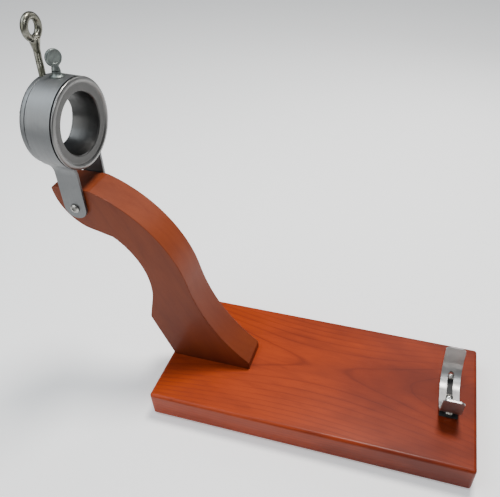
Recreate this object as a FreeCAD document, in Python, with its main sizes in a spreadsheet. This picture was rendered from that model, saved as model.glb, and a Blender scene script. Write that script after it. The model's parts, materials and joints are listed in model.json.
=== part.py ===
import FreeCAD, Part
import os
from math import cos, radians, sin, sqrt

import Sketcher
from FreeCAD import Placement, Rotation, Vector

# Ham holder stand: a base board, an S-shaped arm, a tilting yoke that carries a rotating cup
# with an eye screw, a thumbscrew that locks the cup, and a U-shaped rest at the other end.
# Millimetres. +X runs from the cup end to the rest end, +Z is up and Y is across the board.
# The origin is on the floor, at the middle of the stand's overall length and width.

SIZES = [
    # base board and rubber feet
    ("board_start", -146.15), ("board_long", 400.0), ("board_wide", 180.0), ("board_thick", 36.5),
    ("board_round", 4.0), ("board_under_round", 1.5),
    ("foot_tall", 3.0), ("foot_radius", 10.0), ("foot_inset_x", 28.0), ("foot_inset_y", 26.0),
    ("foot_recess_radius", 4.6), ("foot_recess_deep", 1.6), ("foot_screw_radius", 2.0),
    ("foot_screw_head", 4.2), ("foot_screw_deep", 14.0),
    # arm: corners are measured from the board's end (along) and from the board's top (up)
    ("arm_thick", 40.0), ("arm_edge_round", 0.8),
    ("heel_along", 4.0), ("jaw_along", -20.2), ("jaw_up", 65.5), ("jaw_round", 8.0),
    ("waist_along", -13.4), ("waist_up", 93.6), ("throat_along", -45.0), ("throat_up", 190.0),
    ("throat_radius", 90.0), ("chin_along", -76.0), ("chin_up", 198.7), ("chin_radius", 55.7),
    ("nape_along", -107.7), ("nape_up", 246.5), ("crown_along", -104.2), ("crown_radius", 3.5),
    ("crown_up", 250.0), ("brow_along", -59.8), ("sway_along", 39.8), ("sway_up", 134.1),
    ("back_radius", 156.2), ("sweep_radius", 212.0), ("toe_along", 110.0), ("toe_up", 11.5),
    # fixings between the board and the arm
    ("arm_screw_radius", 3.0), ("arm_screw_head", 6.0), ("arm_screw_near", 40.0),
    ("arm_screw_far", 84.0), ("arm_screw_deep", 30.0), ("arm_screw_sunk", 2.0),
    ("dowel_radius", 5.0), ("dowel_half", 20.0), ("dowel_near", 18.0), ("dowel_far", 62.0),
    # head: tilting joint, yoke band and its legs
    ("pivot_along", -80.4), ("pivot_up", 227.5), ("lean", 2.2), ("ring_rise", 94.0),
    ("band_outer", 48.0), ("band_thick", 3.0), ("band_wide", 26.8), ("band_bend", 20.0),
    ("leg_gap", 1.3), ("washer_thick", 1.0), ("washer_radius", 8.0), ("play", 0.3),
    ("shoulder_radius", 3.0), ("run_clear", 0.05), ("pivot_thread", 2.5), ("pivot_deep", 12.0),
    ("pivot_head", 5.3), ("pivot_head_tall", 3.2), ("sleeve_radius", 4.0),
    # rotating cup, its rear collar and the glide ring
    ("journal_radius", 44.92), ("cup_front", 15.6), ("rim_radius", 48.0), ("rim_edge", 16.3),
    ("rim_round", 2.2), ("rim_inner", 44.6), ("rim_slope", 17.0), ("dish_radius", 42.4),
    ("dish_edge", 16.2), ("dish_face", 15.6), ("bore_front", 32.7),
    ("bore_rear", 27.3), ("bore_round", 2.4), ("cup_rear", -13.7), ("cup_turn", -3.0),
    ("collar_outer", 46.3), ("collar_inner", 38.0), ("collar_rear", -22.2), ("collar_round", 3.5),
    ("collar_neck", 43.8), ("collar_gap", 1.9),
    ("collar_screw_ring", 41.9), ("collar_screw_radius", 2.0), ("collar_screw_head", 3.4),
    ("collar_screw_sunk", 2.4), ("collar_screw_deep", 8.0), ("glide_outer", 46.8),
    # eye screw and its swivel tip
    ("eye_axis", -17.95), ("eye_rod", 3.5), ("eye_centre", 92.5), ("eye_ring", 10.3),
    ("eye_wire", 3.6), ("eye_neck", 6.0), ("eye_neck_tall", 10.0), ("eye_turn", 2.0),
    ("rod_start", 37.5), ("nose_start", 35.4),
    ("nose_radius", 2.0), ("tip_start", 33.4), ("tip_end", 37.2), ("tip_radius", 3.7),
    # thumbscrew, its boss and the brass lock pad
    ("thumb_along", -1.0), ("thumb_side", -2.9),
    ("boss_foot", 7.4), ("boss_top", 4.4), ("boss_rise", 5.2), ("thumb_shank", 2.5),
    ("pad_start", 45.25), ("pad_end", 48.0), ("thumb_neck", 4.2), ("thumb_neck_start", 53.6),
    ("thumb_waist", 3.7), ("thumb_centre", 66.0), ("thumb_disc", 8.8), ("thumb_thick", 3.4),
    ("thumb_turn", -22.0), ("thumb_dish", 6.9), ("thumb_dish_deep", 0.5),
    # U-shaped rest and its fixings
    ("rest_along", 365.6), ("rest_shift", 3.0), ("pad_thick", 1.0), ("pad_wide", 22.0),
    ("pad_long", 60.0), ("rest_wide", 24.5), ("rest_thick", 2.0),
    ("rest_flat", 8.0), ("rest_bend", 28.0), ("rest_angle", 80.0), ("rest_wing", 21.5),
    ("rest_corner", 5.0), ("slot_half_wide", 3.7), ("slot_half_long", 30.5),
    ("rest_screw_radius", 2.1), ("rest_screw_head", 4.4), ("rest_screw_deep", 22.0),
    ("rest_washer", 5.0), ("rest_washer_thick", 1.2),
    ("grip_angle", 38.0), ("grip_radius", 2.0), ("grip_head", 4.0), ("grip_head_tall", 2.6),
    ("grip_nut", 3.5), ("grip_nut_tall", 2.4),
]

doc = FreeCAD.newDocument("ham_holder_stand")
sheet = doc.addObject("Spreadsheet::Sheet", "Sizes")
for row, (alias, number) in enumerate(SIZES, start=1):
    sheet.set("A%d" % row, alias)
    sheet.set("B%d" % row, str(number))
    sheet.setAlias("B%d" % row, alias)
doc.recompute()


class Size:
    """A length or angle from the sheet, kept with the expression that gives it."""

    def __init__(self, value, text):
        self.value = value
        self.text = text

    def __add__(self, other):
        other = as_size(other)
        return Size(self.value + other.value, "(%s + %s)" % (self.text, other.text))

    def __sub__(self, other):
        other = as_size(other)
        return Size(self.value - other.value, "(%s - %s)" % (self.text, other.text))

    def __mul__(self, other):
        other = as_size(other)
        return Size(self.value * other.value, "(%s * %s)" % (self.text, other.text))

    def __neg__(self):
        return Size(-self.value, "(0 - %s)" % self.text)


def as_size(number):
    return number if isinstance(number, Size) else Size(float(number), repr(float(number)))


def size(alias):
    return Size(float(sheet.get(alias)), "Sizes." + alias)


# Derived places that several pieces share.
BOARD_TOP = size("foot_tall") + size("board_thick")
HALF_ARM = size("arm_thick") * 0.5
HALF_BAND = size("band_wide") * 0.5
BAND_INNER = size("band_outer") - size("band_thick")
LEG_INNER = HALF_ARM + size("leg_gap")
LEG_OUTER = LEG_INNER + size("band_thick")
LEAN = size("lean").value
PIVOT = Vector((size("board_start") + size("pivot_along")).value, 0, (BOARD_TOP + size("pivot_up")).value)
TILT = Rotation(Vector(0, 1, 0), LEAN)
RING = PIVOT + TILT.multVec(Vector(0, 0, size("ring_rise").value))
HEAD = Placement(RING, TILT)
HOLDER = HEAD.multiply(Placement(Vector(0, 0, 0), Rotation(Vector(1, 0, 0), size("cup_turn").value)))
LOCK = Placement(Vector(size("thumb_along").value, 0, 0), Rotation(Vector(1, 0, 0), size("thumb_side").value))


def new_body(name):
    body = doc.addObject("PartDesign::Body", name)
    body.Label = name
    return body


def new_sketch(body, role, offset=0.0):
    """A sketch on one of the body's own origin planes, moved along its normal."""
    sketch = body.newObject("Sketcher::SketchObject", body.Name + "_sketch")
    plane = [item for item in body.Origin.OriginFeatures if item.Role == role][0]
    sketch.AttachmentSupport = [(plane, "")]
    sketch.MapMode = "FlatFace"
    offset = as_size(offset)
    sketch.AttachmentOffset = Placement(Vector(0, 0, offset.value), Rotation())
    sketch.setExpression("AttachmentOffset.Base.z", offset.text)
    return sketch


def pin(sketch, edge, end, across, up):
    """Fix one end of an edge at a place given by two sizes."""
    for kind, place in (("DistanceX", across), ("DistanceY", up)):
        index = sketch.addConstraint(Sketcher.Constraint(kind, -1, 1, edge, end, place.value))
        sketch.setExpression("Constraints[%d]" % index, place.text)


def bow(start, end, radius, side, large):
    """The middle of the arc from start to end that turns left (side 1) or right (side -1)."""
    chord = end - start
    middle = (start + end) * 0.5
    left = Vector(-chord.y, chord.x, 0).normalize()
    reach = sqrt(max(radius ** 2 - (chord.Length / 2) ** 2, 0.0))
    inward = left * side * (-1 if large else 1)
    centre = middle + inward * reach
    return centre + inward * (radius if large else -radius)


def outline(sketch, corners):
    """A closed outline. Each corner is (across, up), or (across, up, radius, side[, "large"])
    where the edge that leaves it is an arc; every corner and radius is tied to the sheet."""
    corners = [tuple(as_size(v) if k < 3 else v for k, v in enumerate(c)) for c in corners]
    points = [Vector(c[0].value, c[1].value, 0) for c in corners]
    starts, ends = [], []
    for k, corner in enumerate(corners):
        begin, finish = points[k], points[(k + 1) % len(points)]
        if len(corner) > 2:
            mid = bow(begin, finish, corner[2].value, corner[3], len(corner) > 4)
            edge = sketch.addGeometry(Part.Arc(begin, mid, finish), False)
            forward = sketch.getPoint(edge, 1).distanceToPoint(begin) < 1e-4
            starts.append((edge, 1 if forward else 2))
            ends.append((edge, 2 if forward else 1))
            index = sketch.addConstraint(Sketcher.Constraint("Radius", edge, corner[2].value))
            sketch.setExpression("Constraints[%d]" % index, corner[2].text)
        else:
            edge = sketch.addGeometry(Part.LineSegment(begin, finish), False)
            starts.append((edge, 1))
            ends.append((edge, 2))
    for k, corner in enumerate(corners):
        pin(sketch, starts[k][0], starts[k][1], corner[0], corner[1])
        joint = ends[k - 1] + starts[k]
        sketch.addConstraint(Sketcher.Constraint("Coincident", *joint))


def circle(sketch, across, up, radius):
    across, up, radius = as_size(across), as_size(up), as_size(radius)
    shape = Part.Circle(Vector(across.value, up.value, 0), Vector(0, 0, 1), radius.value)
    edge = sketch.addGeometry(shape, False)
    pin(sketch, edge, 3, across, up)
    index = sketch.addConstraint(Sketcher.Constraint("Radius", edge, radius.value))
    sketch.setExpression("Constraints[%d]" % index, radius.text)


def pad(body, sketch, length, symmetric=False, backward=False):
    feature = body.newObject("PartDesign::Pad", body.Name + "_pad")
    feature.Profile = sketch
    feature.SideType = "Symmetric" if symmetric else "One side"
    feature.Reversed = backward
    length = as_size(length)
    feature.Length = length.value
    feature.setExpression("Length", length.text)
    doc.recompute()
    return feature


def pocket(body, sketch, length=None, symmetric=False, backward=False):
    """Cut the sketch out of the body; with no length it goes right through."""
    before = body.Shape.Volume
    feature = body.newObject("PartDesign::Pocket", body.Name + "_pocket")
    feature.Profile = sketch
    feature.SideType = "Symmetric" if symmetric else "One side"
    feature.Reversed = backward
    if length is None:
        feature.Type = "ThroughAll"
    else:
        length = as_size(length)
        feature.Length = length.value
        feature.setExpression("Length", length.text)
    doc.recompute()
    if body.Shape.Volume > before - 0.01:
        raise RuntimeError("a pocket of %s cuts nothing" % body.Label)
    return feature


def revolve(body, sketch, axis):
    feature = body.newObject("PartDesign::Revolution", body.Name + "_turned")
    feature.Profile = sketch
    feature.ReferenceAxis = (sketch, [axis])
    feature.Angle = 360.0
    doc.recompute()
    return feature


def turned(name, corners, axis="V_Axis"):
    """A body turned about its own Z axis (V_Axis) or X axis (H_Axis)."""
    body = new_body(name)
    sketch = new_sketch(body, "XZ_Plane")
    outline(sketch, corners)
    revolve(body, sketch, axis)
    return body


def soften(body, radius, wanted, kind="Fillet"):
    """Round or chamfer the edges of the body's tip that satisfy wanted(edge)."""
    base = body.Tip
    names = ["Edge%d" % (k + 1) for k, edge in enumerate(base.Shape.Edges) if wanted(edge)]
    feature = body.newObject("PartDesign::" + kind, body.Name + "_soft")
    feature.Base = (base, names)
    prop = "Radius" if kind == "Fillet" else "Size"
    radius = as_size(radius)
    setattr(feature, prop, radius.value)
    feature.setExpression(prop, radius.text)
    doc.recompute()
    return feature


def middle_of(edge):
    return edge.valueAt((edge.FirstParameter + edge.LastParameter) / 2)


def group(name, members):
    """Identical loose pieces kept as one node of separate solids."""
    for number, member in enumerate(members, start=1):
        member.Label = "%s_%d" % (name, number)
    compound = doc.addObject("Part::Compound", name)
    compound.Label = name
    compound.Links = members
    return compound


def foot_places():
    x_low = size("board_start") + size("foot_inset_x")
    x_high = size("board_start") + size("board_long") - size("foot_inset_x")
    y_far = size("board_wide") * 0.5 - size("foot_inset_y")
    return [(x, y) for x in (x_low, x_high) for y in (-y_far, y_far)]


def along(alias):
    return size("board_start") + size(alias)


def base_board():
    """Solid board with eased edges and all its screw and dowel holes."""
    body = new_body("base_board")
    sketch = new_sketch(body, "XY_Plane", size("foot_tall"))
    x_low, x_high = size("board_start"), size("board_start") + size("board_long")
    y_far = size("board_wide") * 0.5
    outline(sketch, [(x_low, -y_far), (x_high, -y_far), (x_high, y_far), (x_low, y_far)])
    pad(body, sketch, size("board_thick"))
    top, bottom = BOARD_TOP.value, size("foot_tall").value
    soften(body, size("board_round"), lambda e: middle_of(e).z > bottom + 0.1)
    soften(body, size("board_under_round"), lambda e: abs(middle_of(e).z - bottom) < 0.01)

    feet = new_sketch(body, "XY_Plane", size("foot_tall"))
    for x, y in foot_places():
        circle(feet, x, y, size("foot_screw_radius"))
    pocket(body, feet, size("foot_screw_deep"), backward=True)

    screws = new_sketch(body, "XY_Plane", size("foot_tall"))
    for alias in ("arm_screw_near", "arm_screw_far"):
        circle(screws, along(alias), 0, size("arm_screw_radius"))
    pocket(body, screws, backward=True)
    sinks = new_sketch(body, "XY_Plane", size("foot_tall"))
    for alias in ("arm_screw_near", "arm_screw_far"):
        circle(sinks, along(alias), 0, size("arm_screw_head"))
    pocket(body, sinks, size("arm_screw_sunk") + 3.0, backward=True)

    dowels = new_sketch(body, "XY_Plane", BOARD_TOP)
    for alias in ("dowel_near", "dowel_far"):
        circle(dowels, along(alias), 0, size("dowel_radius"))
    pocket(body, dowels, size("dowel_half"))
    pilot = new_sketch(body, "XY_Plane", BOARD_TOP)
    circle(pilot, along("rest_along"), 0, size("rest_screw_radius"))
    pocket(body, pilot, size("rest_screw_deep"))
    return body


def arm():
    """S-shaped arm sawn from one plank, standing on the board and leaning past its end."""
    body = new_body("arm")
    sketch = new_sketch(body, "XZ_Plane")
    floor = BOARD_TOP

    def at(x_alias, z_alias, *arc):
        return (along(x_alias), floor + size(z_alias)) + arc

    outline(sketch, [
        (along("heel_along"), floor),
        (along("toe_along"), floor),
        at("toe_along", "toe_up", size("sweep_radius"), -1),
        at("sway_along", "sway_up", size("back_radius"), 1),
        at("brow_along", "crown_up"),
        at("crown_along", "crown_up", size("crown_radius"), 1),
        at("nape_along", "nape_up", size("chin_radius"), 1),
        at("chin_along", "chin_up"),
        at("throat_along", "throat_up", size("throat_radius"), -1),
        at("waist_along", "waist_up"),
        at("jaw_along", "jaw_up"),
    ])
    pad(body, sketch, size("arm_thick"), symmetric=True)
    jaw_x = along("jaw_along").value
    soften(body, size("jaw_round"), lambda e: len(e.Vertexes) == 2 and abs(middle_of(e).x - jaw_x) < 0.01
           and abs(middle_of(e).y) < 0.01)
    soften(body, size("arm_edge_round"), lambda e: abs(abs(middle_of(e).y) - HALF_ARM.value) < 0.01
           and middle_of(e).z > floor.value + 0.1)

    cross = new_sketch(body, "XZ_Plane")
    circle(cross, along("pivot_along"), floor + size("pivot_up"), size("sleeve_radius"))
    pocket(body, cross, size("arm_thick") * 2, symmetric=True)
    dowels = new_sketch(body, "XY_Plane", floor)
    for alias in ("dowel_near", "dowel_far"):
        circle(dowels, along(alias), 0, size("dowel_radius"))
    pocket(body, dowels, size("dowel_half"), backward=True)
    screws = new_sketch(body, "XY_Plane", floor)
    for alias in ("arm_screw_near", "arm_screw_far"):
        circle(screws, along(alias), 0, size("arm_screw_radius"))
    pocket(body, screws, size("arm_screw_deep"), backward=True)
    return body


def arm_screws():
    """Two countersunk screws driven up through the board into the arm."""
    members = []
    head, shank = size("arm_screw_head"), size("arm_screw_radius")
    for alias in ("arm_screw_near", "arm_screw_far"):
        long = size("board_thick") - size("arm_screw_sunk") + size("arm_screw_deep")
        body = turned("arm_screw", [(0, 0), (head, 0), (shank, 3.0), (shank, long - 4.0), (0, long)])
        low = size("foot_tall") + size("arm_screw_sunk")
        body.Placement = Placement(Vector(along(alias).value, 0, low.value), Rotation())
        members.append(body)
    return group("arm_screws", members)


def arm_dowels():
    """Two hardwood dowels that locate the arm on the board."""
    members = []
    for alias in ("dowel_near", "dowel_far"):
        dowel = doc.addObject("Part::Cylinder", "arm_dowel")
        dowel.setExpression("Radius", size("dowel_radius").text)
        dowel.setExpression("Height", (size("dowel_half") * 2).text)
        low = BOARD_TOP - size("dowel_half")
        dowel.Placement = Placement(Vector(along(alias).value, 0, low.value), Rotation())
        members.append(dowel)
    return group("arm_dowels", members)


def rubber_feet():
    """Four round rubber feet with a recess for the screw head."""
    outer, hole, recess = size("foot_radius"), size("foot_screw_radius"), size("foot_recess_radius")
    tall, deep = size("foot_tall"), size("foot_recess_deep")
    members = []
    for x, y in foot_places():
        corners = [(recess, 0), (outer - 0.8, 0), (outer, 0.8), (outer, tall), (hole, tall), (hole, deep),
                   (recess, deep)]
        body = turned("rubber_foot", corners)
        body.Placement = Placement(Vector(x.value, y.value, 0), Rotation())
        members.append(body)
    return group("rubber_feet", members)


def feet_screws():
    """Wood screws that hold the feet, their heads up inside the recess."""
    shank, head = size("foot_screw_radius"), size("foot_screw_head")
    base = size("foot_recess_deep")
    tip = size("foot_tall") + size("foot_screw_deep")
    members = []
    for x, y in foot_places():
        corners = [(0, 0.3), (head, 0.3), (head, base), (shank, base), (shank, tip - 3.0), (0, tip)]
        body = turned("foot_screw", corners)
        body.Placement = Placement(Vector(x.value, y.value, 0), Rotation())
        members.append(body)
    return group("feet_screws", members)


def pivot_sleeve():
    """Threaded brass sleeve across the arm that both pivot screws run into."""
    inner, outer, low, high = size("pivot_thread"), size("sleeve_radius"), -HALF_ARM, HALF_ARM
    body = turned("pivot_sleeve", [(inner, low), (outer, low), (outer, high), (inner, high)])
    body.Placement = Placement(PIVOT, Rotation(Vector(1, 0, 0), 90))
    return body


def cross_recess(body, height, deep, reach=2.1):
    """A four-armed driver recess in the top of a screw head."""
    sketch = new_sketch(body, "XY_Plane", height)
    a, b = as_size(0.5), as_size(reach)
    outline(sketch, [(b, -a), (b, a), (a, a), (a, b), (-a, b), (-a, a), (-b, a), (-b, -a), (-a, -a),
                     (-a, -b), (a, -b), (a, -a)])
    pocket(body, sketch, deep)


def pivot_screws():
    """Shoulder screws with domed heads, one in each leg of the yoke."""
    thread, shoulder, head = size("pivot_thread"), size("shoulder_radius"), size("pivot_head")
    under = HALF_ARM + size("leg_gap") + size("band_thick") + size("play")
    top = under + size("pivot_head_tall")
    members = []
    for turn in (90, -90):
        corners = [(0, HALF_ARM - size("pivot_deep")), (thread, HALF_ARM - size("pivot_deep")),
                   (thread, HALF_ARM), (shoulder, HALF_ARM), (shoulder, under), (head, under),
                   (head, under + 1.2, 7.0, 1), (0, top)]
        body = turned("pivot_screw", corners)
        cross_recess(body, top + 0.2, 2.2, 2.7)
        body.Placement = Placement(PIVOT, Rotation(Vector(1, 0, 0), turn))
        members.append(body)
    return group("pivot_screws", members)


def pivot_washers():
    """Thin washers that keep the legs off the wood."""
    inner, outer = size("shoulder_radius"), size("washer_radius")
    thick = HALF_ARM + size("washer_thick")
    members = []
    for turn in (90, -90):
        body = turned("pivot_washer", [(inner, HALF_ARM), (outer, HALF_ARM), (outer, thick), (inner, thick)])
        body.Placement = Placement(PIVOT, Rotation(Vector(1, 0, 0), turn))
        members.append(body)
    return group("pivot_washers", members)


def strap_bend():
    """Where the band's circle flows into the straight legs: bend centre and tangent points."""
    mid = size("band_outer").value - size("band_thick").value / 2
    leg = (LEG_INNER.value + LEG_OUTER.value) / 2
    bend = size("band_bend").value
    across = leg + bend
    drop = sqrt((mid + bend) ** 2 - across ** 2)
    return across / (mid + bend), drop / (mid + bend), drop


def yoke_band():
    """One strap bent round the cup, its ends running down as two legs with round tips."""
    body = new_body("yoke_band")
    sketch = new_sketch(body, "YZ_Plane")
    side, down, drop = strap_bend()
    outer, inner = size("band_outer"), BAND_INNER
    tight, wide = size("band_bend") - size("band_thick") * 0.5, size("band_bend") + size("band_thick") * 0.5
    foot = size("ring_rise") + HALF_BAND
    outline(sketch, [
        (LEG_OUTER, -foot),
        (LEG_OUTER, -drop, tight, -1),
        (outer * side, outer * -down, outer, 1, "large"),
        (outer * -side, outer * -down, tight, -1),
        (-LEG_OUTER, -drop),
        (-LEG_OUTER, -foot),
        (-LEG_INNER, -foot),
        (-LEG_INNER, -drop, wide, 1),
        (inner * -side, inner * -down, inner, -1, "large"),
        (inner * side, inner * -down, wide, 1),
        (LEG_INNER, -drop),
        (LEG_INNER, -foot),
    ])
    pad(body, sketch, size("band_wide"), symmetric=True)

    rounding = new_sketch(body, "XZ_Plane")
    low, level = -foot - 1.0, -size("ring_rise")
    for side in (1, -1):
        edge = HALF_BAND * side
        outline(rounding, [(0, -foot, HALF_BAND, side), (edge, level), (edge * 1.1, level),
                           (edge * 1.1, low), (0, low)])
    pocket(body, rounding, size("arm_thick") * 3, symmetric=True)
    pivots = new_sketch(body, "XZ_Plane")
    circle(pivots, 0, -size("ring_rise"), size("shoulder_radius") + size("run_clear"))
    pocket(body, pivots, size("arm_thick") * 3, symmetric=True)
    lock = new_sketch(body, "XY_Plane")
    lock.AttachmentOffset = LOCK
    circle(lock, 0, 0, size("thumb_shank") + size("run_clear"))
    pocket(body, lock, size("band_outer") + 5.0, backward=True)
    body.Placement = HEAD
    return body


def thumb_boss():
    """Flared boss on the crown of the band that the thumbscrew runs through."""
    outer = size("band_outer")
    hole = size("thumb_shank") + size("run_clear")
    body = turned("thumb_boss", [
        (hole, outer - 1.5),
        (size("boss_foot"), outer - 1.5),
        (size("boss_foot"), outer + 0.4, 4.0, -1),
        (size("boss_top"), outer + 3.2),
        (size("boss_top"), outer + size("boss_rise")),
        (hole, outer + size("boss_rise")),
    ])
    seat = new_sketch(body, "YZ_Plane")
    circle(seat, 0, 0, outer)
    pocket(body, seat, size("band_wide") * 2, symmetric=True)
    body.Placement = HEAD.multiply(LOCK)
    return body


def cup():
    """Turned cup: journal inside the band, thick rounded rim, dished mouth and tapered bore."""
    rear, front = size("cup_rear"), size("cup_front")
    body = turned("cup", [
        (rear, size("bore_rear")),
        (size("dish_face") - size("bore_round"), size("bore_front"), size("bore_round"), 1),
        (size("dish_face"), size("bore_front") + size("bore_round")),
        (size("dish_edge"), size("dish_radius")),
        (size("rim_slope"), size("rim_inner"), size("rim_round"), 1),
        (size("rim_edge"), size("rim_radius")),
        (front, size("rim_radius")),
        (front, size("journal_radius")),
        (rear, size("journal_radius")),
    ], "H_Axis")
    holes = new_sketch(body, "YZ_Plane", rear)
    for y, z in collar_screw_places():
        circle(holes, y, z, size("collar_screw_radius"))
    pocket(body, holes, size("collar_screw_deep"), backward=True)
    body.Placement = HOLDER
    return body


def collar_screw_places():
    ring = size("collar_screw_ring")
    return [(ring * cos(radians(turn)), ring * sin(radians(turn))) for turn in (30, 150, 270)]


def cup_collar():
    """Rear collar that keeps the cup in the band and carries the eye screw's thread."""
    front, rear, soft = size("cup_rear"), size("collar_rear"), size("collar_round")
    inner, outer = size("collar_inner"), size("collar_outer")
    body = turned("cup_collar", [
        (front, inner),
        (front, size("collar_neck")),
        (front - size("collar_gap"), size("collar_neck")),
        (front - size("collar_gap"), outer),
        (rear + soft, outer, soft, 1),
        (rear, outer - soft),
        (rear, inner + 1.0),
        (rear + 1.0, inner),
    ], "H_Axis")
    thread = new_sketch(body, "XY_Plane")
    circle(thread, size("eye_axis"), 0, size("eye_rod") + size("run_clear"))
    pocket(body, thread, size("collar_outer") + 5.0, backward=True)
    shanks = new_sketch(body, "YZ_Plane", rear)
    for y, z in collar_screw_places():
        circle(shanks, y, z, size("collar_screw_radius"))
    pocket(body, shanks, backward=True)
    heads = new_sketch(body, "YZ_Plane", rear)
    for y, z in collar_screw_places():
        circle(heads, y, z, size("collar_screw_head"))
    pocket(body, heads, size("collar_screw_sunk"), backward=True)
    body.Placement = HOLDER
    return body


def collar_screws():
    """Three cap screws through the collar into the back of the cup."""
    shank, head, sunk = size("collar_screw_radius"), size("collar_screw_head"), size("collar_screw_sunk")
    reach = size("cup_rear") - size("collar_rear") + size("collar_screw_deep")
    members = []
    for y, z in collar_screw_places():
        corners = [(0, 0.2), (head - 0.4, 0.2), (head - 0.1, 0.5), (head - 0.1, sunk), (shank, sunk),
                   (shank, reach), (0, reach)]
        body = turned("collar_screw", corners)
        cross_recess(body, as_size(1.4), 1.4)
        local = Placement(Vector(size("collar_rear").value, y.value, z.value), Rotation(Vector(0, 1, 0), 90))
        body.Placement = HOLDER.multiply(local)
        members.append(body)
    return group("collar_screws", members)


def glide_ring():
    """Black nylon ring between the front of the band and the back of the rim."""
    rear, front = HALF_BAND + size("play"), size("cup_front")
    inner, outer = size("journal_radius"), size("glide_outer")
    body = turned("glide_ring", [(rear, inner), (front, inner), (front, outer), (rear, outer)], "H_Axis")
    body.Placement = HOLDER
    return body


def eye_screw():
    """Long screw with a forged eye: a rod with a nose, a flared neck and a round ring."""
    rod = doc.addObject("Part::Cylinder", "eye_rod")
    rod.setExpression("Radius", size("eye_rod").text)
    ring_low = size("eye_centre") - size("eye_ring")
    rod.setExpression("Height", (ring_low - size("rod_start")).text)
    rod.Placement = Placement(Vector(0, 0, size("rod_start").value), Rotation())
    nose = doc.addObject("Part::Cylinder", "eye_nose")
    nose.setExpression("Radius", size("nose_radius").text)
    nose.setExpression("Height", (size("rod_start") - size("nose_start")).text)
    nose.Placement = Placement(Vector(0, 0, size("nose_start").value), Rotation())
    neck = doc.addObject("Part::Cone", "eye_neck")
    neck.setExpression("Radius1", size("eye_rod").text)
    neck.setExpression("Radius2", size("eye_neck").text)
    neck.setExpression("Height", size("eye_neck_tall").text)
    neck.Placement = Placement(Vector(0, 0, (ring_low - size("eye_neck_tall") + 0.5).value), Rotation())
    ring = doc.addObject("Part::Torus", "eye_ring")
    ring.setExpression("Radius1", size("eye_ring").text)
    ring.setExpression("Radius2", size("eye_wire").text)
    ring.Placement = Placement(Vector(0, 0, size("eye_centre").value), Rotation(Vector(0, 1, 0), 90))
    screw = doc.addObject("Part::MultiFuse", "eye_screw")
    screw.Label = "eye_screw"
    screw.Shapes = [rod, nose, neck, ring]
    local = Placement(Vector(size("eye_axis").value, 0, 0), Rotation(Vector(0, 0, 1), size("eye_turn").value))
    screw.Placement = HOLDER.multiply(local)
    return screw


def eye_screw_tip():
    """Swivel tip on the nose of the eye screw; it presses on the shank without turning."""
    wide, low, high = size("tip_radius"), size("tip_start"), size("tip_end")
    socket, floor = size("nose_radius") + size("run_clear"), size("nose_start") - 0.1
    body = turned("eye_screw_tip", [
        (0, low), (wide - 1.2, low, 1.2, 1), (wide, low + 1.2), (wide, high), (socket, high),
        (socket, floor), (0, floor)])
    body.Placement = HOLDER.multiply(Placement(Vector(size("eye_axis").value, 0, 0), Rotation()))
    return body


def thumbscrew():
    """Spade-headed screw: a short shank, a neck and a flat round head with raised rims."""
    shank, neck, waist = size("thumb_shank"), size("thumb_neck"), size("thumb_waist")
    start = size("pad_end") + 0.05
    ledge = size("thumb_neck_start")
    low = size("thumb_centre") - size("thumb_disc")
    body = turned("thumbscrew", [
        (0, start), (shank, start), (shank, ledge), (neck, ledge), (neck, ledge + 1.0),
        (waist, low + 0.5), (waist, low + 3.0), (0, low + 3.0)])
    disc = new_sketch(body, "YZ_Plane")
    circle(disc, 0, size("thumb_centre"), size("thumb_disc"))
    pad(body, disc, size("thumb_thick"), symmetric=True)
    half = size("thumb_thick") * 0.5
    for offset, backward in ((half, False), (-half, True)):
        dish = new_sketch(body, "YZ_Plane", offset)
        circle(dish, 0, size("thumb_centre") + 0.4, size("thumb_dish"))
        pocket(body, dish, size("thumb_dish_deep"), backward=backward)
    turn = Rotation(Vector(0, 0, 1), size("thumb_turn").value)
    body.Placement = HEAD.multiply(LOCK).multiply(Placement(Vector(0, 0, 0), turn))
    return body


def lock_pad():
    """Brass pad under the thumbscrew that presses on the cup."""
    body = turned("lock_pad", [
        (0, size("pad_start")), (size("thumb_shank") - 0.4, size("pad_start")),
        (size("thumb_shank"), size("pad_start") + 0.4), (size("thumb_shank"), size("pad_end")),
        (0, size("pad_end"))])
    body.Placement = HEAD.multiply(LOCK)
    return body


def rest_place():
    low = BOARD_TOP + size("pad_thick")
    return Placement(Vector(along("rest_along").value, size("rest_shift").value, low.value), Rotation())


def rest_pad():
    """Thin rubber pad between the strap and the varnish, with a hole for the wood screw."""
    body = new_body("rest_pad")
    sketch = new_sketch(body, "XY_Plane")
    wide, reach = size("pad_wide") * 0.5, size("pad_long") * 0.5
    outline(sketch, [(-wide, -reach), (wide, -reach), (wide, reach), (-wide, reach)])
    circle(sketch, 0, -size("rest_shift"), size("rest_screw_radius"))
    pad(body, sketch, size("pad_thick"))
    body.Placement = rest_place().multiply(Placement(Vector(0, 0, -size("pad_thick").value), Rotation()))
    return body


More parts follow.
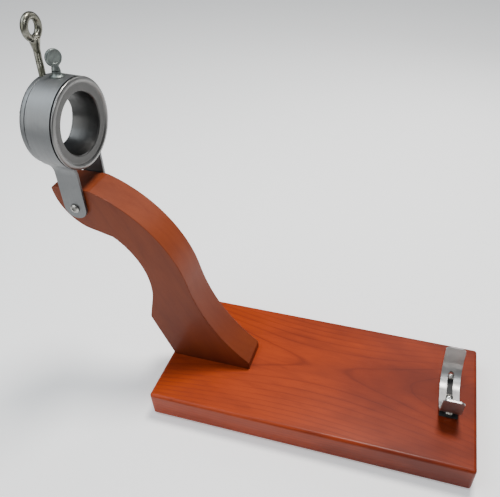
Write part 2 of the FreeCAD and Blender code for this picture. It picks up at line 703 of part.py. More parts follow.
def ham_rest():
    """Strap bent to a U across the board, with a long slot and rounded tips."""
    body = new_body("ham_rest")
    sketch = new_sketch(body, "YZ_Plane")
    flat, bend, thick = size("rest_flat"), size("rest_bend"), size("rest_thick")
    turn = radians(size("rest_angle").value)
    wing = size("rest_wing")
    inner = (flat + bend * sin(turn), thick + bend * (1 - cos(turn)))
    outer_bend = bend + thick
    outer = (flat + outer_bend * sin(turn), thick + bend - outer_bend * cos(turn))
    rise = (wing * cos(turn), wing * sin(turn))
    outline(sketch, [
        (-flat, 0), (flat, 0, outer_bend, 1),
        outer, (outer[0] + rise[0], outer[1] + rise[1]),
        (inner[0] + rise[0], inner[1] + rise[1]), inner + (bend, -1),
        (flat, thick), (-flat, thick, bend, -1),
        (-inner[0], inner[1]), (-inner[0] - rise[0], inner[1] + rise[1]),
        (-outer[0] - rise[0], outer[1] + rise[1]), (-outer[0], outer[1], outer_bend, 1),
    ])
    pad(body, sketch, size("rest_wide"), symmetric=True)
    slot = new_sketch(body, "XY_Plane")
    half, reach = size("slot_half_wide"), size("slot_half_long") - size("slot_half_wide")
    far = reach + half
    outline(slot, [(half, -reach), (half, reach, half, 1), (0, far, half, 1), (-half, reach),
                   (-half, -reach, half, 1), (0, -far, half, 1)])
    pocket(body, slot, size("rest_bend") * 0.9, backward=True)
    top = (inner[1] + rise[1]).value
    soften(body, size("rest_corner"), lambda e: abs(e.Length - thick.value) < 0.01
           and middle_of(e).z > top - 1.5)
    body.Placement = rest_place()
    return body


def rest_screw():
    """Wood screw through the slot into the board."""
    shank, head = size("rest_screw_radius"), size("rest_screw_head")
    seat = size("pad_thick") + size("rest_thick") + size("rest_washer_thick")
    body = turned("rest_screw", [
        (0, -size("rest_screw_deep")), (shank, -size("rest_screw_deep") + 4.0), (shank, seat), (head, seat),
        (head, seat + 0.9, 6.5, 1), (0, seat + 2.8)])
    cross_recess(body, seat + 3.0, 2.0)
    body.Placement = Placement(Vector(along("rest_along").value, 0, BOARD_TOP.value), Rotation())
    return body


def rest_washer():
    """Plain washer under the rest's wood screw."""
    low = size("pad_thick") + size("rest_thick")
    high = low + size("rest_washer_thick")
    inner, outer = size("rest_screw_radius"), size("rest_washer")
    body = turned("rest_washer", [(inner, low), (outer, low), (outer, high), (inner, high)])
    body.Placement = Placement(Vector(along("rest_along").value, 0, BOARD_TOP.value), Rotation())
    return body


def grip_frames():
    """Frames at the two grip screws: origin at the bend's centre, -Z out through the strap."""
    flat, bend, thick = (size(a).value for a in ("rest_flat", "rest_bend", "rest_thick"))
    frames = []
    for side in (1, -1):
        tilt = Rotation(Vector(1, 0, 0), side * size("grip_angle").value)
        frames.append(rest_place().multiply(Placement(Vector(0, side * flat, thick + bend), tilt)))
    return frames


def grip_screws():
    """Round-headed screws clamped in the slot, one up each side, that stop the ham sliding."""
    shank, head = size("grip_radius"), size("grip_head")
    seat = -(size("rest_bend") - 0.3)
    tip = -(size("rest_bend") + size("rest_thick") + size("grip_nut_tall") + 1.0)
    members = []
    for frame in grip_frames():
        body = turned("grip_screw", [
            (0, tip), (shank - 0.4, tip), (shank, tip + 0.4), (shank, seat), (head, seat),
            (head, seat + 0.5, 4.4, 1), (0, seat + size("grip_head_tall"))])
        cross_recess(body, seat + size("grip_head_tall") + 0.2, 1.5)
        body.Placement = frame
        members.append(body)
    return group("grip_screws", members)


def grip_nuts():
    """Hexagon nuts on the outside of the strap."""
    top = -(size("rest_bend") + size("rest_thick") + 0.1)
    flat = size("grip_nut")
    corner = flat * (2 / sqrt(3))
    turns = [radians(60 * k + 30) for k in range(6)]
    members = []
    for frame in grip_frames():
        body = new_body("grip_nut")
        sketch = new_sketch(body, "XY_Plane", top)
        outline(sketch, [(corner * cos(turn), corner * sin(turn)) for turn in turns])
        circle(sketch, 0, 0, size("grip_radius"))
        pad(body, sketch, size("grip_nut_tall"), backward=True)
        body.Placement = frame
        members.append(body)
    return group("grip_nuts", members)


NODES = [build() for build in (
    base_board, arm, arm_screws, arm_dowels, rubber_feet, feet_screws, pivot_sleeve, pivot_screws,
    pivot_washers, yoke_band, thumb_boss, cup, cup_collar, collar_screws, glide_ring, eye_screw,
    eye_screw_tip, thumbscrew, lock_pad, ham_rest, rest_pad, rest_screw, rest_washer, grip_screws, grip_nuts)]
doc.recompute()

for item in doc.Objects:
    if "Invalid" in item.State or "Error" in item.State:
        raise RuntimeError("%s is not up to date: %s" % (item.Name, item.State))
for node in NODES:
    if node.Shape.isNull() or not node.Shape.isValid():
        raise RuntimeError("%s has no valid shape" % node.Label)

os.makedirs("parts", exist_ok=True)
for node in NODES:
    node.Shape.exportStep("parts/%s.step" % node.Label)
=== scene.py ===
import json
import math

import bmesh
import bpy
from mathutils import Euler, Matrix, Vector


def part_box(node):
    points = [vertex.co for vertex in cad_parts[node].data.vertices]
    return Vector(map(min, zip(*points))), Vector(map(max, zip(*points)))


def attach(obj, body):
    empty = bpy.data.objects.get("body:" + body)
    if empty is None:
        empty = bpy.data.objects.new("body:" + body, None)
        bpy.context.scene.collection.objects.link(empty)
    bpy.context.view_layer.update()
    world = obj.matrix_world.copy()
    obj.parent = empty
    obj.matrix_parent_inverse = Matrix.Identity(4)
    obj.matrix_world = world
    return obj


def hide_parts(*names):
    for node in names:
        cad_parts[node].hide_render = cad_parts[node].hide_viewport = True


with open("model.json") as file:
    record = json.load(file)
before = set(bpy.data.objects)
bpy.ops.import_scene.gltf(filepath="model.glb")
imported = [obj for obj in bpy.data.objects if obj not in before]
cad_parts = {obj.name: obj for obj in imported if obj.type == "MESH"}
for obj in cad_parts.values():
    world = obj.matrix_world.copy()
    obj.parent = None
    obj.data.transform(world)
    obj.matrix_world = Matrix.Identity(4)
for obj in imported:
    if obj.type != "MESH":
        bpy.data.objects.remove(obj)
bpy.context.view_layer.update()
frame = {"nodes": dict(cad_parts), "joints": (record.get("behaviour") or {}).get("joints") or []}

# Ham holder stand. The CAD nodes carry the wood, the straps and the screws; the cup, its collar,
# the glide ring, the eye screw and the thumbscrew get finer pieces here. The scene is in metres,
# in the CAD's frame; the outlines of those finer pieces are in millimetres.

MM = 0.001
JOINTS = {joint["name"]: joint for joint in frame["joints"]}
RING = Vector(JOINTS["cup_spin"]["pos_m"])
FORWARD = Vector(JOINTS["cup_spin"]["axis"]).normalized()


def screw_frame(joint):
    """Frame of a screw: X along the cup's axis, Z outward along the screw, from the cup's axis."""
    upward = Vector(JOINTS[joint]["axis"]).normalized()
    turn = Matrix((FORWARD, upward.cross(FORWARD), upward)).transposed().to_4x4()
    return Matrix.Translation(Vector(JOINTS[joint]["pos_m"])) @ turn


EYE = screw_frame("eye_turn")
LOCK = screw_frame("thumb_turn")
HEAD = Matrix.Translation(RING - EYE.to_translation()) @ EYE


# ---- materials ---------------------------------------------------------------------------------

class Shader:
    """A principled material whose textures are laid out in a frame of the object's own."""

    def __init__(self, name, frame_matrix=Matrix.Identity(4)):
        self.material = bpy.data.materials.new(name)
        self.material.use_nodes = True
        self.tree = self.material.node_tree
        self.surface = self.tree.nodes["Principled BSDF"]
        place = self.add("TexCoord").outputs["Object"]
        local = self.add("Mapping", {"Vector": place}, vector_type="TEXTURE")
        local.inputs["Location"].default_value = frame_matrix.to_translation()
        local.inputs["Rotation"].default_value = frame_matrix.to_euler()
        self.place = local.outputs["Vector"]

    def add(self, kind, inputs=None, **settings):
        node = self.tree.nodes.new("ShaderNode" + kind)
        for key, value in settings.items():
            setattr(node, key, value)
        for key, value in (inputs or {}).items():
            self.feed(node.inputs[key], value)
        return node

    def feed(self, socket, value):
        if isinstance(value, bpy.types.NodeSocket):
            self.tree.links.new(value, socket)
        else:
            socket.default_value = value

    def set(self, **inputs):
        for key, value in inputs.items():
            self.feed(self.surface.inputs[key.replace("_", " ")], value)

    def scaled(self, scale, place=None):
        place = self.place if place is None else place
        return self.add("Mapping", {"Vector": place, "Scale": scale}).outputs["Vector"]

    def noise(self, scale, detail=2.0, rough=0.5, distortion=0.0, place=None):
        """Fractal noise with so many features per metre along each axis."""
        inputs = {"Vector": self.scaled(scale, place), "Scale": 1.0, "Detail": detail,
                  "Roughness": rough, "Distortion": distortion}
        return self.add("TexNoise", inputs).outputs["Fac"]

    def ramp(self, factor, *stops):
        """Blend between (position, colour or grey) stops."""
        node = self.add("ValToRGB", {"Fac": factor})
        elements = node.color_ramp.elements
        while len(elements) < len(stops):
            elements.new(0.5)
        for element, (position, colour) in zip(elements, stops):
            element.position = position
            grey = not hasattr(colour, "__len__")
            element.color = (colour, colour, colour, 1) if grey else (*colour, 1)
        return node.outputs["Color"]

    def mix(self, factor, first, second):
        node = self.add("Mix", data_type="RGBA")
        sockets = (node.inputs[0], node.inputs[6], node.inputs[7])
        for socket, value in zip(sockets, (factor, first, second)):
            if hasattr(value, "__len__") and not isinstance(value, bpy.types.NodeSocket):
                value = (*value, 1)
            self.feed(socket, value)
        return node.outputs[2]

    def maths(self, operation, first, second=0.0):
        node = self.add("Math", operation=operation)
        self.feed(node.inputs[0], first)
        self.feed(node.inputs[1], second)
        return node.outputs[0]

    def bump(self, height, strength, distance, normal=None):
        node = self.add("Bump", {"Height": height, "Strength": strength, "Distance": distance})
        if normal is not None:
            self.feed(node.inputs["Normal"], normal)
        self.feed(self.surface.inputs["Normal"], node.outputs["Normal"])
        return node.outputs["Normal"]


RING_SPACING = 0.006025
RING_DRIFT = 0.28
FADE_START, FADE_END = -0.12, 0.14
FADE_DEPTH = 0.75
BLOTCH_DEPTH = 1.4


def wood(name, pith, light, middle, dark, spacing=RING_SPACING, saddle=0.0, contrast=0.6):
    """Varnished plank. pith is the frame of the tree's centre line, which runs along its X; saddle
    bends that line up toward the plank's face at both ends, which turns the figure into facing
    arches. spacing is the growth rings' width. The tone goes from light to middle along the X."""
    shader = Shader(name, pith)
    parts = shader.add("SeparateXYZ", {"Vector": shader.place})
    along = parts.outputs["X"]
    bend = shader.maths("MULTIPLY", shader.maths("MULTIPLY", along, along), saddle)
    height = shader.maths("ADD", parts.outputs["Z"], shader.maths("MULTIPLY", bend, -1.0))
    across = shader.add("CombineXYZ", {"Y": parts.outputs["Y"], "Z": height}).outputs["Vector"]
    radius = shader.add("VectorMath", {0: across}, operation="LENGTH").outputs["Value"]
    wander = shader.maths("SUBTRACT", shader.noise((9, 26, 26), 3.0, 0.5), 0.5)
    drift = shader.maths("MULTIPLY", wander, RING_DRIFT)
    years = shader.maths("ADD", shader.maths("DIVIDE", radius, spacing), drift)
    season = shader.ramp(shader.maths("FRACT", years), (0.0, 0.16), (0.3, 0.02), (0.66, 0.06),
                         (0.81, 0.4), (0.86, 1.0), (0.91, 0.25), (1.0, 0.16))
    blotch = shader.noise((9, 22, 22), 3.0, 0.55)
    flame = shader.noise((9, 60, 60), 4.0, 0.62, 0.8)
    fibre = shader.noise((30, 1000, 1000), 3.0, 0.7)
    pores = shader.noise((90, 2400, 2400), 2.0, 0.6)
    slope = shader.add("MapRange", {"Value": along, "From Min": FADE_START, "From Max": FADE_END,
                                    "To Min": 0.0, "To Max": FADE_DEPTH}).outputs["Result"]
    cloudy = shader.maths("MULTIPLY", shader.maths("SUBTRACT", blotch, 0.5), BLOTCH_DEPTH)
    tone = shader.maths("ADD", slope, cloudy)
    colour = shader.mix(shader.ramp(tone, (0.0, 0.0), (0.85, 1.0)), light, middle)
    patches = shader.noise((8, 26, 26), 2.0)
    patchy = shader.ramp(patches, (0.3, contrast * 0.45), (0.65, contrast))
    strength = shader.maths("MULTIPLY", season, patchy)
    colour = shader.mix(strength, colour, dark)
    colour = shader.mix(shader.ramp(flame, (0.46, 0.0), (0.78, 0.30)), colour, dark)
    colour = shader.mix(shader.ramp(fibre, (0.48, 0.0), (0.8, 0.22)), colour, dark)
    colour = shader.mix(shader.ramp(pores, (0.60, 0.0), (0.74, 0.32)), colour, dark)
    shader.set(Base_Color=colour, Specular_IOR_Level=0.12, Coat_Weight=0.09, Coat_Roughness=0.2)
    shader.set(Roughness=shader.ramp(blotch, (0.2, 0.36), (0.8, 0.5)))
    fine = shader.bump(fibre, 0.10, 0.0002)
    shader.bump(shader.noise((30, 110, 110), 2.0), 0.12, 0.0005, fine)
    return shader.material


def tint(colour, factor):
    return [channel * factor for channel in colour]


BRUSH_GRAIN = 0.22
BRUSH_SPREAD = 0.12


def brushed(name, colour, along, roughness, frame_matrix=HEAD):
    """Satin metal; along gives the features per metre, few along the brushing and many across."""
    shader = Shader(name, frame_matrix)
    lines = shader.noise(along, 3.0, 0.7)
    cloud = shader.noise((22, 22, 22), 3.0, 0.55)
    smudge = shader.noise((70, 60, 65), 4.0, 0.6, 1.2)
    scratches = shader.ramp(lines, (0.3, 0.0), (0.7, BRUSH_GRAIN))
    shade = shader.mix(scratches, colour, tint(colour, 0.72))
    shade = shader.mix(shader.ramp(cloud, (0.4, 0.0), (0.75, 0.35)), shade, tint(colour, 0.82))
    satin = shader.ramp(lines, (0.3, roughness), (0.7, roughness + BRUSH_SPREAD))
    gloss = shader.maths("ADD", satin, shader.ramp(smudge, (0.52, 0.0), (0.75, 0.10)))
    shader.set(Base_Color=shade, Metallic=1.0, Roughness=gloss)
    shader.bump(lines, 0.12, 0.00012)
    return shader.material


# Painted shade inside the cup: the width over which it fades in, and the share of the colour it
# leaves.
SHADE_EDGE = 0.0025
SHADE_TONE = 0.33


def turned_metal(name, colour, roughness, shade_radius=None):
    """Lathe-turned metal: fine rings round the piece's own X axis. Inside the given radius,
    if there is one, the colour is darkened as painted shade for the shade inside the cup."""
    shader = Shader(name)
    parts = shader.add("SeparateXYZ", {"Vector": shader.place})
    flat = shader.add("CombineXYZ", {"Y": parts.outputs["Y"], "Z": parts.outputs["Z"]})
    length = shader.add("VectorMath", {0: flat.outputs["Vector"]}, operation="LENGTH")
    radius = length.outputs["Value"]
    tool_path = shader.add("CombineXYZ", {"X": parts.outputs["X"], "Y": radius}).outputs["Vector"]
    lines = shader.noise((2300, 2300, 1), 2.0, 0.6, place=tool_path)
    bands = shader.noise((320, 320, 1), 2.0, 0.5, place=tool_path)
    smudge = shader.noise((60, 60, 60), 4.0, 0.6, 1.0)
    shade = shader.mix(shader.ramp(lines, (0.3, 0.0), (0.7, 0.28)), colour, tint(colour, 0.7))
    shade = shader.mix(shader.ramp(smudge, (0.5, 0.0), (0.78, 0.4)), shade, tint(colour, 0.75))
    gloss = shader.maths("ADD", shader.ramp(bands, (0.3, roughness), (0.7, roughness + 0.1)),
                         shader.ramp(smudge, (0.5, 0.0), (0.75, 0.12)))
    # Painted shade: darken the colour inside the given radius, for the shade inside the cup.
    if shade_radius:
        edge = {"Value": radius, "From Min": shade_radius, "From Max": shade_radius + SHADE_EDGE,
                "To Min": 1.0, "To Max": 0.0}
        painted_shade = shader.add("MapRange", edge).outputs["Result"]
        shade = shader.mix(painted_shade, shade, tint(colour, SHADE_TONE))
    shader.set(Base_Color=shade, Metallic=1.0, Roughness=gloss)
    shader.bump(bands, 0.05, 0.0002, shader.bump(lines, 0.10, 0.0001))
    return shader.material


def forged_metal(name, colour, stain, roughness):
    """Dull plated steel with darker stains and small dents."""
    shader = Shader(name, HEAD)
    stains = shader.noise((120, 120, 120), 4.0, 0.62, 0.8)
    grit = shader.noise((1500, 1500, 1500), 2.0, 0.6)
    dents = shader.noise((420, 420, 420), 2.0, 0.5)
    shade = shader.mix(shader.ramp(stains, (0.38, 0.0), (0.66, 1.0)), colour, stain)
    shade = shader.mix(shader.ramp(grit, (0.5, 0.0), (0.8, 0.35)), shade, tint(stain, 0.5))
    shader.set(Base_Color=shade, Metallic=1.0)
    shader.set(Roughness=shader.ramp(stains, (0.3, roughness), (0.75, roughness + 0.2)))
    shader.bump(dents, 0.06, 0.0003, shader.bump(grit, 0.06, 0.0001))
    return shader.material


def soft_black(name, tone, roughness):
    """Rubber or nylon: nearly black, matte, with fine grain and pale dust."""
    shader = Shader(name)
    grain = shader.noise((1800, 1800, 1800), 2.0)
    dust = shader.noise((150, 150, 150), 4.0, 0.65)
    dusty = shader.ramp(dust, (0.5, 0.0), (0.8, 0.4))
    shader.set(Base_Color=shader.mix(dusty, tone, tint(tone, 2.6)))
    shader.set(Roughness=shader.ramp(grain, (0.3, roughness), (0.7, roughness + 0.15)))
    shader.bump(grain, 0.2, 0.0001)
    return shader.material


BOARD_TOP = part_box("base_board")[1][2]
ARM_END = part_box("arm")[0][0]
REST_LOW, REST_HIGH = (Vector(corner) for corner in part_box("ham_rest"))


def turned_frame(place, *turns):
    """A frame at place, turned about its own axes by (axis, degrees) in order."""
    matrix = Matrix.Translation(place)
    for axis, angle in turns:
        matrix = matrix @ Matrix.Rotation(math.radians(angle), 4, axis)
    return matrix


# The board was sawn well above the tree's centre, and the arm from beside it.
PITH_DEEP = 0.1218
BOARD_PITH = turned_frame(Vector((0.058, 0.0085, BOARD_TOP - PITH_DEEP)), ("Z", -1.5))
ARM_PITH = turned_frame(Vector((ARM_END + 0.09, 0.085, 0.12)), ("Y", 62.0), ("Z", 2.0))

BOARD_WOOD = wood("board_wood", BOARD_PITH, (0.32, 0.037, 0.004), (0.13, 0.015, 0.004),
                  (0.07, 0.007, 0.003), spacing=0.0037, saddle=0.3, contrast=0.62)
ARM_WOOD = wood("arm_wood", ARM_PITH, (0.205, 0.041, 0.013), (0.15, 0.029, 0.010),
                (0.08, 0.013, 0.005), spacing=0.009, contrast=0.16)
DOWEL_WOOD = wood("dowel_wood", ARM_PITH, (0.55, 0.33, 0.15), (0.48, 0.28, 0.12), (0.3, 0.16, 0.07))
STRAP = brushed("strap_steel", (0.168, 0.172, 0.174), (1700, 28, 28), 0.40)
REST_STEEL = brushed("rest_steel", (0.37, 0.365, 0.36), (1700, 24, 24), 0.28,
                     frame_matrix=Matrix.Translation((REST_LOW + REST_HIGH) / 2))
# Within 41.5 mm of its axis the cup is darkened as painted shade.
CUP_METAL = turned_metal("cup_metal", (0.20, 0.198, 0.194), 0.27, shade_radius=0.0415)
# A darker copy of the cup's aluminium: painted shade on the collar behind the yoke band.
SHADED_COLLAR_METAL = turned_metal("collar_metal_shaded", (0.15, 0.154, 0.156), 0.36)
EYE_STEEL = forged_metal("eye_steel", (0.20, 0.195, 0.165), (0.075, 0.074, 0.052), 0.22)
THUMB_STEEL = forged_metal("thumb_steel", (0.17, 0.19, 0.18), (0.11, 0.125, 0.12), 0.34)
SCREW_STEEL = forged_metal("screw_steel", (0.45, 0.44, 0.42), (0.22, 0.215, 0.20), 0.2)
ZINC_STEEL = forged_metal("zinc_steel", (0.50, 0.50, 0.46), (0.32, 0.32, 0.29), 0.3)
BRASS = forged_metal("brass", (0.72, 0.5, 0.2), (0.42, 0.27, 0.1), 0.24)
RUBBER = soft_black("rubber", (0.012, 0.012, 0.012), 0.6)
NYLON = soft_black("nylon", (0.008, 0.008, 0.009), 0.45)

NODE_MATERIALS = {
    "base_board": BOARD_WOOD, "arm": ARM_WOOD, "arm_dowels": DOWEL_WOOD, "arm_screws": ZINC_STEEL,
    "rubber_feet": RUBBER, "feet_screws": ZINC_STEEL, "pivot_sleeve": BRASS,
    "pivot_screws": SCREW_STEEL, "pivot_washers": ZINC_STEEL, "yoke_band": STRAP,
    "thumb_boss": THUMB_STEEL, "collar_screws": SCREW_STEEL, "eye_screw_tip": SCREW_STEEL,
    # rest_pad is black rubber. Its black also stands in as painted shade in the rest's slot and under
    # its near wing.
    "lock_pad": BRASS, "ham_rest": REST_STEEL, "rest_screw": SCREW_STEEL, "rest_pad": RUBBER,
    "rest_washer": ZINC_STEEL, "grip_screws": SCREW_STEEL, "grip_nuts": ZINC_STEEL,
}


# ---- geometry ----------------------------------------------------------------------------------

def new_object(name, mesh, matrix=None):
    piece = bpy.data.objects.new(name, mesh)
    bpy.context.scene.collection.objects.link(piece)
    if matrix is not None:
        piece.matrix_world = matrix
    return piece


def smooth(mesh):
    for face in mesh.polygons:
        face.use_smooth = True


def rounded(corners, steps=8):
    """Points of a closed outline of (along, radius, rounding) corners, each rounded by an arc."""
    points = []
    for k, (x, y, radius) in enumerate(corners):
        here = Vector((x, y))
        if radius == 0:
            points.append(here)
            continue
        back = (Vector(corners[k - 1][:2]) - here).normalized()
        ahead = (Vector(corners[(k + 1) % len(corners)][:2]) - here).normalized()
        half = back.angle(ahead) / 2
        reach = radius / math.tan(half)
        centre = here + (back + ahead).normalized() * (radius / math.sin(half))
        start, end = here + back * reach - centre, here + ahead * reach - centre
        sweep = start.angle_signed(end)
        for step in range(steps + 1):
            angle = -sweep * step / steps
            points.append(centre + Matrix.Rotation(angle, 2) @ start)
    return points


def lathe(name, corners, segments=224):
    """A solid ring turned about X from a closed outline in millimetres."""
    outline = rounded(corners)
    mesh = bpy.data.meshes.new(name)
    verts, faces = [], []
    for turn in range(segments):
        angle = 2 * math.pi * turn / segments
        for point in outline:
            radius = point.y * MM
            verts.append((point.x * MM, radius * math.cos(angle), radius * math.sin(angle)))
    count = len(outline)
    for turn in range(segments):
        first, second = turn * count, ((turn + 1) % segments) * count
        for k in range(count):
            after = (k + 1) % count
            faces.append((first + k, second + k, second + after, first + after))
    mesh.from_pydata(verts, [], faces)
    tidy = bmesh.new()
    tidy.from_mesh(mesh)
    bmesh.ops.remove_doubles(tidy, verts=tidy.verts, dist=1e-7)
    bmesh.ops.recalc_face_normals(tidy, faces=tidy.faces)
    tidy.to_mesh(mesh)
    tidy.free()
    smooth(mesh)
    mesh.set_sharp_from_angle(angle=math.radians(32))
    return mesh


def place(piece, body, slot, material, *nodes):
    """Give a finished piece its material, its body and the CAD nodes that it stands for."""
    piece.data.materials.clear()
    piece.data.materials.append(material)
    if nodes:
        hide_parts(*nodes)
    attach(piece, body)


def turned_piece(name, corners, body, slot, material, node):
    place(new_object(name, lathe(name, corners), HEAD), body, slot, material, node)


# (along, radius, rounding) of each corner, in millimetres along the cup's axis toward its mouth.
CUP_REAR = -13.7
CUP_BODY = 44.92
RIM_BACK = 15.6
CUP_OUTLINE = [
    (CUP_REAR, 27.3, 0.5), (14.6, 32.9, 0), (RIM_BACK, 33.9, 1.6), (16.1, 42.0, 1.6),
    (17.6, 44.6, 1.8), (16.9, 48.1, 1.7), (RIM_BACK, 48.1, 0.2), (RIM_BACK, CUP_BODY, 0),
    (CUP_REAR, CUP_BODY, 0.3),
]
GLIDE_OUTLINE = [(13.7, 44.93, 0), (15.58, 44.93, 0), (15.58, 46.8, 0.25), (13.7, 46.8, 0.25)]
COLLAR_REAR = -22.2
COLLAR_STEP = -15.6
COLLAR_OUTLINE = [
    (COLLAR_REAR, 38.0, 0.9), (CUP_REAR, 38.0, 0), (CUP_REAR, 43.8, 0), (COLLAR_STEP, 43.8, 0),
    (COLLAR_STEP, 46.3, 0.3), (COLLAR_REAR, 46.3, 3.5),
]


def make_cup():
    """Cup with a tapered bore, a broad lip and a rounded rim; behind it its glide ring and collar."""
    turned_piece("cup_turned", CUP_OUTLINE, "holder", "turned_aluminium", CUP_METAL, "cup")
    turned_piece("glide_ring_turned", GLIDE_OUTLINE, "holder", "black_nylon", NYLON, "glide_ring")
    turned_piece("collar_turned", COLLAR_OUTLINE, "holder", "turned_aluminium", SHADED_COLLAR_METAL,
                 "cup_collar")


def cylinder(bm, radius, low, high, top=None):
    """A solid round bar along Z, tapering to the radius of top if one is given."""
    matrix = Matrix.Translation((0, 0, (low + high) / 2))
    bmesh.ops.create_cone(bm, cap_ends=True, segments=64, radius1=radius,
                          radius2=radius if top is None else top, depth=high - low, matrix=matrix)


def torus(bm, radius, wire, centre, turns=96, around=36):
    """A ring in the YZ plane about centre on the Z axis."""
    rows = []
    for turn in range(turns):
        angle = 2 * math.pi * turn / turns
        outward = Vector((0, math.cos(angle), math.sin(angle)))
        row = []
        for step in range(around):
            swing = 2 * math.pi * step / around
            point = outward * (radius + wire * math.cos(swing))
            row.append(bm.verts.new(point + Vector((wire * math.sin(swing), 0, centre))))
        rows.append(row)
    for turn in range(turns):
        here, there = rows[turn], rows[(turn + 1) % turns]
        for step in range(around):
            after = (step + 1) % around
            bm.faces.new((here[step], there[step], there[after], here[after]))


def forge(name, fill, voxel, passes):
    """Melt overlapping forms into one smooth skin, as a forging has."""
    bm = bmesh.new()
    fill(bm)
    bmesh.ops.scale(bm, vec=(MM, MM, MM), verts=bm.verts)
    bmesh.ops.recalc_face_normals(bm, faces=bm.faces)
    mesh = bpy.data.meshes.new(name)
    bm.to_mesh(mesh)
    bm.free()
    piece = new_object(name, mesh)
    melt = piece.modifiers.new("melt", "REMESH")
    melt.mode = "VOXEL"
    melt.voxel_size = voxel * MM
    relax = piece.modifiers.new("relax", "SMOOTH")
    relax.iterations = passes
    relax.factor = 0.5
    depsgraph = bpy.context.evaluated_depsgraph_get()
    skin = bpy.data.meshes.new_from_object(piece.evaluated_get(depsgraph))
    bpy.data.objects.remove(piece)
    smooth(skin)
    return new_object(name, skin)


ROWS_PER_TURN = 8
LEAD_IN = 0.35


def threaded_rod(name, radius, low, high, pitch, depth, fade, around=48):
    """A rod with a right-hand V thread, in millimetres along Z. The thread is a third deep at the
    low end and runs out at the high end, over the length of fade."""
    rows = int((high - low) / pitch * ROWS_PER_TURN)
    verts, faces = [], []
    for row in range(rows + 1):
        z = low + (high - low) * row / rows
        full = max(0.0, min(1.0, (z - low) / fade + LEAD_IN, (high - z) / fade))
        for step in range(around):
            angle = 2 * math.pi * step / around
            phase = (z / pitch - step / around) % 1.0
            groove = depth * full * (1 - abs(2 * phase - 1))
            reach = radius - groove
            verts.append((reach * math.cos(angle) * MM, reach * math.sin(angle) * MM, z * MM))
    for row in range(rows):
        for step in range(around):
            after = (step + 1) % around
            base, top = row * around, (row + 1) * around
            faces.append((base + step, base + after, top + after, top + step))
    faces.append(tuple(reversed(range(around))))
    faces.append(tuple(range(rows * around, (rows + 1) * around)))
    mesh = bpy.data.meshes.new(name)
    mesh.from_pydata(verts, [], faces)
    smooth(mesh)
    return mesh


# The screws are measured outward from the cup's axis.
EYE_CENTRE = 92.5
EYE_RING = 10.3
EYE_WIRE = 3.6
EYE_TURN = 2.0
NECK_LOW = 70.5
NECK_RADIUS = 3.45
FLARE_LENGTH = 10.5
FLARE_RADIUS = 6.0
FLARE_SINK = 0.8
SHOULDER = 3.5
SHOULDER_ASIDE = 3.7
SHOULDER_RISE = 0.6


def eye_forms(bm):
    """A ring on a neck that flares up to it, with a rounded shoulder on each side."""
    torus(bm, EYE_RING, EYE_WIRE, EYE_CENTRE)
    ring_low = EYE_CENTRE - EYE_RING
    cylinder(bm, NECK_RADIUS, NECK_LOW, ring_low)
    cylinder(bm, NECK_RADIUS, ring_low - FLARE_LENGTH, ring_low + FLARE_SINK, top=FLARE_RADIUS)
    for side in (1, -1):
        matrix = Matrix.Translation((0, side * SHOULDER_ASIDE, ring_low + SHOULDER_RISE))
        bmesh.ops.create_uvsphere(bm, u_segments=32, v_segments=20, radius=SHOULDER, matrix=matrix)


def make_eye_screw():
    """Forged eye on a threaded rod."""
    turn = Matrix.Rotation(math.radians(EYE_TURN), 4, "Z")
    eye = forge("eye_screw_eye", eye_forms, 0.33, 14)
    eye.matrix_world = EYE @ turn
    place(eye, "eye", "dark_steel", EYE_STEEL, "eye_screw")
    thread = threaded_rod("eye_screw_rod", radius=3.5, low=35.4, high=71.5, pitch=1.0, depth=0.3,
                          fade=3.0)
    rod = new_object("eye_screw_rod", thread, EYE @ turn)
    place(rod, "eye", "dark_steel", EYE_STEEL)


THUMB_CENTRE = 66.0
THUMB_RADIUS = 8.8
THUMB_TURN = -22.0
THUMB_WEB = 1.15
THUMB_RIM = 1.7
THUMB_OUTLINE = [
    (-THUMB_WEB, 0, 0), (THUMB_WEB, 0, 0), (THUMB_WEB, 6.3, 0.6), (THUMB_RIM, 7.2, 0.6),
    (THUMB_RIM, THUMB_RADIUS, 1.2), (-THUMB_RIM, THUMB_RADIUS, 1.2), (-THUMB_RIM, 7.2, 0.6),
    (-THUMB_WEB, 6.3, 0.6),
]
THUMB_COLLAR = 4.2
THUMB_WAIST = 3.6


def thumb_forms(bm):
    """A flat round head with a raised rim, flowing into a flared neck."""
    outline = rounded(THUMB_OUTLINE, 5)
    segments = 96
    rows = []
    for turn in range(segments):
        angle = 2 * math.pi * turn / segments
        across, up = math.cos(angle), math.sin(angle)
        rows.append([bm.verts.new((p.x, p.y * across, p.y * up + THUMB_CENTRE)) for p in outline])
    for turn in range(segments):
        here, there = rows[turn], rows[(turn + 1) % segments]
        for k in range(len(outline)):
            after = (k + 1) % len(outline)
            bm.faces.new((here[k], there[k], there[after], here[after]))
    bmesh.ops.remove_doubles(bm, verts=bm.verts, dist=1e-4)
    cylinder(bm, THUMB_COLLAR, 53.7, 54.8)
    cylinder(bm, THUMB_COLLAR, 54.7, 57.5, top=THUMB_WAIST)
    cylinder(bm, THUMB_WAIST, 57.4, 61.0, top=3.3)


def make_thumbscrew():
    """Forged head on a short threaded shank."""
    turn = Matrix.Rotation(math.radians(THUMB_TURN), 4, "Z")
    head = forge("thumbscrew_head", thumb_forms, 0.26, 6)
    head.matrix_world = LOCK @ turn
    place(head, "thumb", "dark_steel", THUMB_STEEL, "thumbscrew")
    thread = threaded_rod("thumbscrew_shank", radius=2.5, low=48.06, high=54.2, pitch=0.8,
                          depth=0.24, fade=0.8)
    shank = new_object("thumbscrew_shank", thread, LOCK @ turn)
    place(shank, "thumb", "dark_steel", THUMB_STEEL)


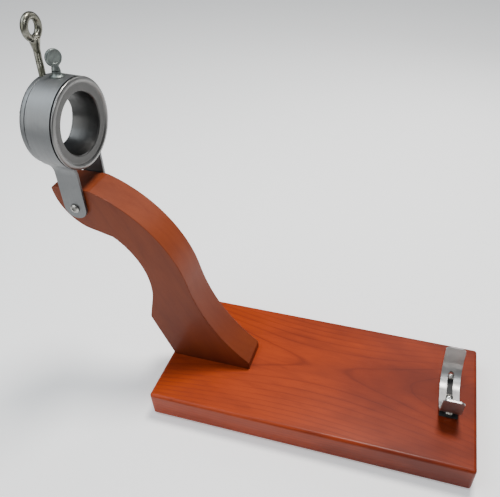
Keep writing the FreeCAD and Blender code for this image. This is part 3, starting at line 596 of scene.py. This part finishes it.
def ease_edges(node, width, segments=3):
    """Break the sharp edges of a CAD node so that they catch the light."""
    bevel = frame["nodes"][node].modifiers.new("eased", "BEVEL")
    bevel.width = width * MM
    bevel.segments = segments
    bevel.limit_method = "ANGLE"
    bevel.angle_limit = math.radians(40)
    bevel.harden_normals = False


def dress_nodes():
    """Give each CAD node its material and smooth shading between sharp edges."""
    for node, material in NODE_MATERIALS.items():
        slots = frame["nodes"][node].data.materials
        slots.clear()
        slots.append(material)
        smooth(frame["nodes"][node].data)
        frame["nodes"][node].data.set_sharp_from_angle(angle=math.radians(30))


# ---- stage -------------------------------------------------------------------------------------

FLOOR_SIZE = 8.0
FLOOR_GLOW = 0.35


def make_floor():
    bpy.ops.mesh.primitive_plane_add(size=FLOOR_SIZE, location=(0, 0, 0))
    floor = bpy.context.object
    floor.name = "floor"
    shader = Shader("floor_paper")
    speckle = shader.noise((90, 90, 90), 3.0)
    shader.set(Base_Color=shader.ramp(speckle, (0.2, 0.90), (0.8, 0.93)), Roughness=0.9)
    shader.set(Emission_Color=(1.0, 1.0, 1.0, 1.0), Emission_Strength=FLOOR_GLOW)
    floor.data.materials.append(shader.material)


def area_light(name, place, target, size, power, colour, card=False):
    """A soft round light aimed at target; a card only shows as a reflection."""
    data = bpy.data.lights.new(name, "AREA")
    data.shape = "DISK"
    data.size = size
    data.energy = power
    data.color = colour
    light = bpy.data.objects.new(name, data)
    bpy.context.scene.collection.objects.link(light)
    light.location = place
    light.visible_camera = False
    light.visible_diffuse = not card
    light.rotation_euler = (Vector(target) - Vector(place)).to_track_quat("-Z", "Y").to_euler()


def make_lights():
    """A warm key, cool light from the ceiling and a low fill behind; two cards light the metal."""
    area_light("key", (0.15, 0.42, 1.7), (0.05, 0, 0.1), size=0.45, power=36,
               colour=(1.0, 0.97, 0.93))
    area_light("ceiling", (-0.85, -0.35, 1.6), (-0.15, 0, 0.2), size=1.1, power=15,
               colour=(0.88, 0.95, 1.0))
    area_light("window", (0.70, -0.53, 1.38), RING, size=0.3, power=7,
               colour=(0.95, 0.98, 1.0), card=True)
    area_light("front_card", RING + Vector((-0.47, -0.97, 0.5)), RING, size=1.1, power=9,
               colour=(0.95, 0.97, 0.97), card=True)
    area_light("back_card", (0.34, 1.0, 0.75), (0.22, 0, 0.05), size=0.7, power=3,
               colour=(1.0, 1.0, 1.0))


ROOM_LOW = (0.32, 0.31, 0.30, 1)
ROOM_HIGH = (0.80, 0.88, 0.95, 1)
ROOM_STRENGTH = 0.38


def make_room():
    """A dim surrounding, cooler and brighter toward the ceiling."""
    world = bpy.data.worlds.new("studio")
    world.use_nodes = True
    tree = world.node_tree
    direction = tree.nodes.new("ShaderNodeTexCoord")
    parts = tree.nodes.new("ShaderNodeSeparateXYZ")
    ramp = tree.nodes.new("ShaderNodeValToRGB")
    ramp.color_ramp.elements[0].position = 0.0
    ramp.color_ramp.elements[0].color = ROOM_LOW
    ramp.color_ramp.elements[1].position = 0.9
    ramp.color_ramp.elements[1].color = ROOM_HIGH
    background = tree.nodes["Background"]
    background.inputs["Strength"].default_value = ROOM_STRENGTH
    tree.links.new(direction.outputs["Generated"], parts.inputs["Vector"])
    tree.links.new(parts.outputs["Z"], ramp.inputs["Fac"])
    tree.links.new(ramp.outputs["Color"], background.inputs["Color"])
    bpy.context.scene.world = world


CAMERA_PLACE = (0.1368, -0.4298, 0.6054)
CAMERA_TARGET = (0.0212, 0.0, 0.2535)
CAMERA_ROLL = -0.2
LENS = 38.06
SHIFT = (-0.0898, -0.0178)


def make_camera():
    """High on the near side of the rest's end, looking down at the arm."""
    data = bpy.data.cameras.new("camera")
    data.sensor_width = 36.0
    data.lens = LENS
    data.shift_x, data.shift_y = SHIFT
    camera = bpy.data.objects.new("camera", data)
    bpy.context.scene.collection.objects.link(camera)
    camera.location = CAMERA_PLACE
    level = (Vector(CAMERA_TARGET) - camera.location).to_track_quat("-Z", "Y")
    roll = Euler((0, 0, math.radians(CAMERA_ROLL))).to_quaternion()
    camera.rotation_euler = (level @ roll).to_euler()
    bpy.context.scene.camera = camera


dress_nodes()
make_cup()
make_eye_screw()
make_thumbscrew()
ease_edges("yoke_band", 0.45)
ease_edges("ham_rest", 0.35)
make_floor()
make_lights()
make_room()
make_camera()
